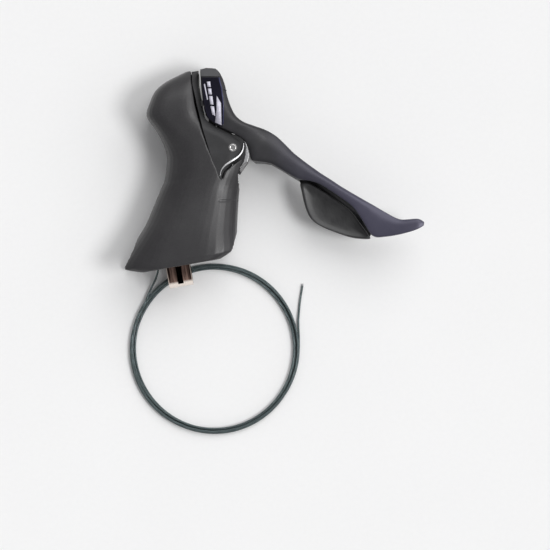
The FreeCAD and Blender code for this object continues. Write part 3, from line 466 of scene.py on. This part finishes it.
def hood(look):
    """Rubber sleeve with a notch for the lever, a room for the bar and a moulding line."""
    outside = solid_object("hood_outside", hood_skin("hood_outside", 0))
    notch = SEAM + HOOD_LIP + ((49, 54), (62, 54), (62, 120), (27.0, 120))
    cutters = [
        solid_object("hood_inside", hood_skin("hood_inside", HOOD_WALL, rear=-6)),
        solid_object("hood_notch", slab("hood_notch", notch, -25, 25)),
        tunnel("hood_mouth", MOUTH, 30, 62),
        tunnel("hood_arch", ARCH, -50, 0),
        tunnel("hood_bar_room", BAR_ARC, -50, 60),
    ]
    mesh = carved(outside, cutters, 0.5 * MM, 2)
    made = piece("hood_rubber", mesh, look, "housing", ["hood"])
    relief(made.data)


MOULD_LINE = (Vector((30.4, 32.3)), Vector((41.5, 30.4)))


def relief(mesh):
    """Presses a fine moulding line into the hood near its front edge."""
    start, end = MOULD_LINE
    run = end - start
    for vertex in mesh.vertices:
        spot = vertex.co / MM
        along = min(max((spot.xy - start).dot(run) / run.length_squared, 0), 1)
        away = (spot.xy - start - run * along).length
        if abs(spot.z) > 5 and away < 0.8:
            vertex.co -= vertex.normal * (0.28 * MM * math.cos(away / 0.8 * math.pi / 2))


# ------------------------------------------------------------------ lever blade and head
# Rear edge and front edge at matching places, with the lowest and highest Z, from horn to tip.
LEVER = (
    (32.5, 109.3, 36.6, 109.3, -4.0, 11.0), (32.1, 107.4, 41.6, 107.8, -5.2, 11.6),
    (31.7, 103.8, 43.9, 103.5, -5.7, 11.8), (31.1, 98.0, 45.0, 98.0, -5.7, 11.8),
    (30.8, 92.0, 45.2, 91.5, -5.7, 11.8), (30.7, 87.0, 45.9, 86.4, -5.7, 11.8),
    (31.2, 81.8, 47.1, 81.5, -5.7, 11.8), (33.8, 77.8, 49.0, 77.9, -5.7, 11.8),
    (38.4, 73.8, 52.0, 74.9, -5.7, 11.7), (43.4, 70.2, 55.2, 73.0, -5.7, 11.5),
    (47.8, 67.0, 58.6, 71.1, -5.7, 11.1), (50.6, 63.6, 61.6, 69.5, -5.7, 10.7),
    (51.7, 60.0, 64.4, 67.7, -5.6, 10.3), (52.1, 55.6, 67.2, 65.5, -5.5, 9.9),
    (52.4, 52.3, 69.8, 62.9, -5.3, 9.7), (56.1, 50.7, 72.4, 59.4, -5.1, 9.5),
    (60.7, 49.3, 75.2, 55.4, -4.9, 9.2), (64.4, 47.4, 77.6, 52.0, -4.7, 8.9),
    (71.0, 41.7, 82.4, 46.6, -4.4, 8.5), (77.6, 36.6, 87.2, 41.6, -4.1, 8.4),
    (82.9, 35.0, 91.6, 37.2, -3.8, 8.5), (88.1, 32.4, 96.0, 33.2, -3.1, 8.6),
    (94.4, 27.0, 101.0, 28.4, -2.3, 8.8), (101.6, 20.0, 107.4, 22.9, -1.2, 9.1),
    (106.1, 14.6, 113.0, 18.2, -0.4, 9.4), (110.2, 5.6, 118.8, 13.4, 0.4, 9.8),
    (114.0, -3.3, 124.2, 8.8, 1.1, 10.0), (121.0, -4.8, 128.6, 5.3, 1.7, 10.1),
    (128.5, -5.0, 132.2, 3.4, 2.4, 10.2), (135.5, -4.5, 137.2, 2.8, 3.4, 10.2),
    (140.8, -3.6, 142.0, 2.1, 4.4, 10.0), (144.3, -2.2, 144.9, -0.4, 5.9, 9.1),
)
# Places round the blade's section: across from the rear edge, and up from the lowest point.
SOLID_SECTION = (
    (0.0, 0.3), (0.0, 0.8), (0.015, 0.94), (0.05, 1.0), (0.42, 1.0), (0.68, 0.99), (0.82, 0.945),
    (0.93, 0.88), (0.99, 0.83), (1.0, 0.79), (0.985, 0.12), (0.92, 0.01), (0.5, 0.0), (0.08, 0.0),
    (0.01, 0.1),
)
SHELL_SECTION = (
    (0.0, 0.8), (0.0, 0.92), (0.012, 0.98), (0.04, 1.0), (0.42, 1.0), (0.74, 0.995), (0.87, 0.965),
    (0.95, 0.92), (0.992, 0.88), (1.0, 0.85), (1.0, 0.2), (0.96, 0.0), (0.84, 0.02), (0.82, 0.76),
    (0.1, 0.78),
)
# Rows of the lever between which its hollow section becomes solid.
SHELL_ENDS, SOLID_STARTS = 8, 13
LEVER_STEPS = 3
HUB_RADIUS, HUB_LENGTH, HUB_FROM = 3.4 * MM, 9.9 * MM, -0.9 * MM
WEB = ((39.6, 84.6), (44.6, 83.4), (44.0, 91.0), (39.9, 91.8))
FINGER = ((33.4, 89.2), (40.2, 88.5), (40.2, 91.6), (33.4, 91.2))
STRUT = ((38.4, 88.4), (40.2, 88.2), (40.2, 91.6), (38.4, 91.6))


def lever_rings():
    """Sections along the blade that turn from the hollow head's into the solid blade's."""
    rings = []
    for place, row in enumerate(curve_through(LEVER, LEVER_STEPS)):
        rear_x, rear_y, front_x, front_y, low, high = row
        share = min(max((place / LEVER_STEPS - SHELL_ENDS) / (SOLID_STARTS - SHELL_ENDS), 0), 1)
        rear, front = Vector((rear_x, rear_y, 0)), Vector((front_x, front_y, 0))
        ring = []
        for (a, b), (c, d) in zip(SHELL_SECTION, SOLID_SECTION):
            across, lift = a + (c - a) * share, b + (d - b) * share
            spot = rear.lerp(front, across)
            spot.z = low + (high - low) * lift
            ring.append(spot * MM)
        rings.append(ring)
    return rings


def turned(name, radius, start, end, segments=40):
    """A round bar between two places."""
    form = bmesh.new()
    way = end - start
    bmesh.ops.create_cone(form, cap_ends=True, segments=segments, radius1=radius, radius2=radius,
                          depth=way.length)
    stand = Matrix.Translation((start + end) / 2) @ way.to_track_quat("Z", "Y").to_matrix().to_4x4()
    bmesh.ops.transform(form, matrix=stand, verts=form.verts)
    return mesh_from(name, form)


def lever(looks):
    """Blade and head in one flowing form over the hub, web and finger that work behind it."""
    piece("lever_blade", loft("lever_blade", lever_rings()), looks["blade"], "shift_blade",
          ["main_lever"], subdivide=2)
    hub_start = SHIFT_PIN + SHIFT_AXIS * HUB_FROM
    hub_mesh = turned("lever_hub", HUB_RADIUS, hub_start, hub_start + SHIFT_AXIS * HUB_LENGTH)
    hub = piece("lever_hub", hub_mesh, looks["dark"], "shift_blade")
    hub.data.polygons.foreach_set("use_smooth", [len(f.vertices) == 4 for f in hub.data.polygons])
    for name, outline, low, high, look in (
        ("lever_web", WEB, -1.6, 1.6, "dark"),
        ("shift_finger", FINGER, -6.4, -4.6, "steel"),
        ("finger_strut", STRUT, -6.4, -1.0, "dark"),
    ):
        piece(name, slab(name, outline, low, high), looks[look], "shift_blade",
              bevel=0.2 * MM)


# ------------------------------------------------------------------ name plate
PLATE = ((32.5, 104.5), (42.6, 102.8), (43.1, 96.0), (42.4, 86.0), (40.0, 74.4), (38.4, 74.6), (35.3, 77.0),
         (32.2, 80.4), (31.2, 84.4), (31.1, 92.0), (31.6, 99.0))
PLATE_LOW, PLATE_HIGH = 11.85, 13.05
# Outline of a painted reflection on the glossy plate.
PLATE_REFLECTION = ((39.2, 92.4), (40.9, 87.8), (39.0, 75.2), (35.6, 77.4), (37.7, 84.4))
BARS = (
    ((33.0, 100.3), (33.7, 100.4), (33.9, 91.2), (33.2, 91.0)),
    ((35.0, 101.4), (36.9, 101.2), (36.7, 98.0), (34.9, 98.3)),
    ((34.9, 97.4), (36.8, 97.1), (36.6, 93.6), (34.8, 94.0)),
    ((34.8, 93.1), (36.7, 92.7), (36.5, 87.6), (34.7, 88.2)),
    ((34.6, 87.2), (36.6, 86.6), (36.4, 81.0), (34.8, 82.2)),
)
RIM_LINE = ((42.0, 102.6), (42.6, 102.5), (43.0, 96.0), (42.3, 86.0), (40.2, 75.6), (39.7, 75.6),
            (41.8, 86.0), (42.4, 96.0))
TICK = ((43.9, 95.4), (45.4, 94.7), (45.4, 94.3), (43.9, 94.9))


def name_plate(looks):
    """Glossy dark plate with a painted reflection in light lavender, a blue edge line and a few plain bars,
    and no lettering.
    """
    piece("plate_gloss", slab("plate_gloss", PLATE, PLATE_LOW, PLATE_HIGH), looks["gloss"], "shift_blade",
          ["name_plate"], bevel=0.35 * MM)
    # A painted reflection and printed bars, laid just over the plate.
    prints = [("plate_print_and_reflection", PLATE_REFLECTION, "print_and_reflection"), ("plate_edge_line", RIM_LINE, "rim")]
    prints += [(f"plate_bar_{i}", outline, "print_and_reflection") for i, outline in enumerate(BARS)]
    for name, outline, look in prints:
        piece(name, slab(name, outline, PLATE_HIGH - 0.05, PLATE_HIGH + 0.04), looks[look], "shift_blade")
    piece("head_tick", slab("head_tick", TICK, 11.5, 11.9), looks["gloss"], "shift_blade")


# ------------------------------------------------------------------ bright parts round the pivot
CRESCENT = ((49.9, 64.1), (51.2, 62.9), (51.7, 58.4), (51.1, 53.6), (49.7, 50.9), (45.4, 46.6), (44.5, 47.6),
            (45.6, 49.6), (47.9, 52.2), (49.7, 56.2), (50.2, 60.2))
CLIP_BARS = 4
CLIP_CORNERS = (Vector((44.9, 49.4)), Vector((49.9, 52.0)), Vector((50.6, 50.6)), Vector((45.2, 45.6)))
# Each point has the cheek's height there too.
STRIP = ((32.9, 46.2, 15.0), (34.2, 49.8, 15.2), (37.3, 52.6, 15.1), (41.7, 54.5, 14.6), (46.0, 56.6, 13.4),
         (48.6, 59.6, 11.6), (49.6, 62.8, 10.4))
STRIP_WIDTH, STRIP_DEPTH = 1.0, 1.6
AXLE = Vector((43.2, 61.3))
AXLE_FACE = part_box("pivot_axle")[1][2] / MM
AXLE_RING_OUTSIDE, AXLE_RING_INSIDE, AXLE_RING_HEIGHT = 1.9, 1.35, 0.25
SEAM_BACKING = ((25.2, 107.6), (30.4, 107.6), (30.2, 98.0), (30.0, 86.0), (30.4, 80.0), (25.6, 80.0),
                (24.8, 98.0))


def bent_strip(name, path, width, depth):
    """A thin strip to the right of a path, widest in the middle, with its top at each height."""
    points = [Vector(p) for p in curve_through(path, 5)]
    drop = Vector((0, 0, depth))
    rings = []
    for i, point in enumerate(points):
        way = (points[min(i + 1, len(points) - 1)] - points[max(i - 1, 0)]).xy.normalized()
        share = i / (len(points) - 1)
        beside = point + Vector((way.y, -way.x, 0)) * width * (0.3 + 0.7 * math.sin(math.pi * share))
        rings.append([spot * MM for spot in (point - drop, point, beside, beside - drop)])
    return loft(name, rings)


def bright_parts(looks):
    """Silver crescent and ribbed clip on the link, a thin silver strip along the cheek's lower edge, and the
    axle's face.
    """
    piece("link_crescent", slab("link_crescent", CRESCENT, 8.7, 9.35), looks["alloy"], "brake_link",
          bevel=0.25 * MM)
    a, b, c, d = CLIP_CORNERS
    for i in range(CLIP_BARS):
        low, high = i / CLIP_BARS, (i + 0.45) / CLIP_BARS
        outline = [tuple(p) for p in (a.lerp(d, low), b.lerp(c, low), b.lerp(c, high), a.lerp(d, high))]
        piece(f"clip_bar_{i}", slab(f"clip_bar_{i}", outline, 9.3, 10.1), looks["bright"], "brake_link",
              bevel=0.15 * MM)
    strip = bent_strip("cheek_strip", STRIP, STRIP_WIDTH, STRIP_DEPTH)
    piece("cheek_strip", strip, looks["alloy"], "housing", bevel=0.12 * MM)
    piece("seam_backing", slab("seam_backing", SEAM_BACKING, -5.0, -3.5), looks["resin"], "housing")
    axle_ring(looks["bright"])


def axle_ring(look):
    """The raised rim round the socket in the axle's head."""
    steps = [2 * math.pi * i / 40 for i in range(40)]
    top = AXLE_FACE + AXLE_RING_HEIGHT
    form = bmesh.new()
    rows = []
    for radius, height in ((AXLE_RING_OUTSIDE, AXLE_FACE), (AXLE_RING_OUTSIDE, top),
                           (AXLE_RING_INSIDE, top), (AXLE_RING_INSIDE, AXLE_FACE)):
        spots = [AXLE + Vector((math.cos(step), math.sin(step))) * radius for step in steps]
        rows.append([form.verts.new(Vector((*spot, height)) * MM) for spot in spots])
    for row, following in zip(rows, rows[1:] + rows[:1]):
        for i in range(len(steps)):
            j = (i + 1) % len(steps)
            form.faces.new((row[i], row[j], following[j], following[i]))
    piece("axle_ring", mesh_from("axle_ring", form), look, "housing")


# ------------------------------------------------------------------ release paddle
PADDLE = ((82.0, 34.2), (78.2, 34.6), (78.0, 29.2), (78.5, 20.5), (80.0, 14.3), (82.6, 10.3),
          (87.6, 6.2), (94.0, 2.3), (100.5, -1.2), (105.9, -3.2), (112.3, -4.4), (111.8, -1.8),
          (108.4, 5.2), (104.6, 12.6), (100.4, 17.6), (93.2, 24.6), (85.4, 31.8))
PADDLE_MIDDLE = Vector((92.4, 12.6))
# How far the pad's outline is drawn in at each height, from its back up over the rim into the dish.
PADDLE_LEVELS = ((0.97, -6.75), (1.0, -6.0), (1.0, 0.5), (0.975, 1.15), (0.93, 1.35), (0.87, 1.15),
                 (0.8, 0.8), (0.6, 0.4), (0.3, 0.25))
FLANGE = ((77.8, 36.0), (84.6, 37.0), (92.2, 32.2), (99.2, 25.4), (105.8, 17.8), (110.4, 9.8),
          (114.6, -1.0), (112.0, -3.6), (106.6, 4.4), (102.4, 12.0), (98.6, 16.8), (91.6, 23.4),
          (84.0, 30.8), (78.6, 33.0))


def shrunk(outline, share):
    """The outline drawn in towards the paddle's middle."""
    return [tuple(PADDLE_MIDDLE.lerp(Vector(p), share)) for p in outline]


def paddle(looks):
    """Moulded paddle: a raised rim falls into a shallow dish that the thumb presses."""
    outline = [tuple(p) for p in curve_through(PADDLE + PADDLE[:1], 3)[:-1]]
    rings = [[Vector((x, y, z)) * MM for x, y in shrunk(outline, share)] for share, z in PADDLE_LEVELS]
    piece("paddle_pad", loft("paddle_pad", rings), looks["pad"], "release",
          ["release_paddle"])
    piece("paddle_flange", slab("paddle_flange", FLANGE, -6.75, -5.2), looks["dark"], "release")


# ------------------------------------------------------------------ stage
def look_from_above():
    """The camera, straight above and turned so that the bracket leans as it does on the table."""
    lens = bpy.data.cameras.new("camera")
    distance, width = 4.0, 0.319
    lens.lens = lens.sensor_width * distance / width
    camera = bpy.data.objects.new("camera", lens)
    camera.location = (VIEW_CENTRE.x, VIEW_CENTRE.y, distance)
    camera.rotation_euler = (0, 0, VIEW_ROLL)
    bpy.context.scene.collection.objects.link(camera)
    bpy.context.scene.camera = camera


def sun(name, energy, towards, angle):
    """A sun that shines at the lever from a direction given in the picture's right, up and out."""
    data = bpy.data.lights.new(name, "SUN")
    data.energy = energy
    data.angle = math.radians(angle)
    made = bpy.data.objects.new(name, data)
    way = Matrix.Rotation(VIEW_ROLL, 3, "Z") @ Vector(towards).normalized()
    made.location = way
    made.rotation_euler = way.to_track_quat("Z", "Y").to_euler()
    bpy.context.scene.collection.objects.link(made)


def studio(looks):
    """Pale table, three soft lights from the upper right, and a world that dims overhead."""
    form = bmesh.new()
    bmesh.ops.create_grid(form, x_segments=1, y_segments=1, size=4)
    mesh = mesh_from("table", form)
    mesh.materials.append(looks["table"])
    floor = solid_object("table", mesh)
    floor.location.z = TABLE
    sun("key", 1.25, (0.42, 0.85, 1.0), angle=48)
    sun("sheen", 1.3, (0.64, -0.1, 1.0), angle=20)
    sun("side", 0.25, (1.0, 0.15, 0.5), angle=40)
    world = bpy.data.worlds.new("studio")
    world.use_nodes = True
    tree = world.node_tree
    way = node(tree, "ShaderNodeTexCoord").outputs["Generated"]
    height = node(tree, "ShaderNodeSeparateXYZ", {"Vector": way}).outputs["Z"]
    sky = mixed(tree, between(tree, height, 0.15, 0.95), (1.0, 1.0, 1.0), (0.36, 0.36, 0.37))
    tree.links.new(sky, tree.nodes["Background"].inputs["Color"])
    tree.nodes["Background"].inputs["Strength"].default_value = 0.65
    bpy.context.scene.world = world
    bpy.context.scene.view_settings.view_transform = "Standard"


# ------------------------------------------------------------------ all of it
looks = materials()
look_from_above()
studio(looks)
cable(looks["cable"])
finish_nodes(looks)
hood(looks["rubber"])
lever(looks)
name_plate(looks)
bright_parts(looks)
paddle(looks)
